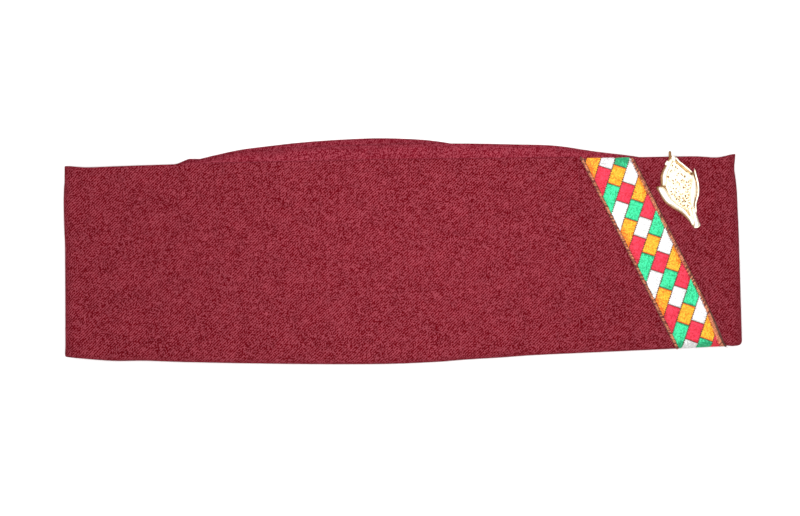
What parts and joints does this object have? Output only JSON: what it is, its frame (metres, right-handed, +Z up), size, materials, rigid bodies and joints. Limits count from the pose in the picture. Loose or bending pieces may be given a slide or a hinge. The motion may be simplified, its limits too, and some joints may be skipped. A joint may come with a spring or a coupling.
{
  "type": "folding hill cap",
  "caption": "Boat-shaped folding cap of maroon twill lying flat, with a turned-up cuff, a slanting patterned ribbon and a gilt flower-bud brooch.",
  "frame": {"origin": "on the floor under the middle of the flat-lying cap", "axes": "+X along the cap to its front, +Y to the crown's ridge, -Y out of the face opening, +Z up from the floor"},
  "size_m": [0.2946, 0.0984, 0.0174],
  "materials": {
    "cuff_twill": "maroon wool twill with fine pale diagonal lines, matte",
    "crown_twill": "maroon wool twill, matte",
    "woven_ribbon": "satin-woven blocks of orange, red, green and white between copper edges",
    "gilt": "bright gilt casting",
    "pin_steel": "plain wire"
  },
  "bodies": {
    "root": {"cuff": "cuff_twill", "crown_side_right": "crown_twill", "crown_side_left": "crown_twill", "crown_top": "crown_twill", "ribbon": "woven_ribbon", "brooch": "gilt", "brooch_pin": "pin_steel"}
  },
  "joints": []
}
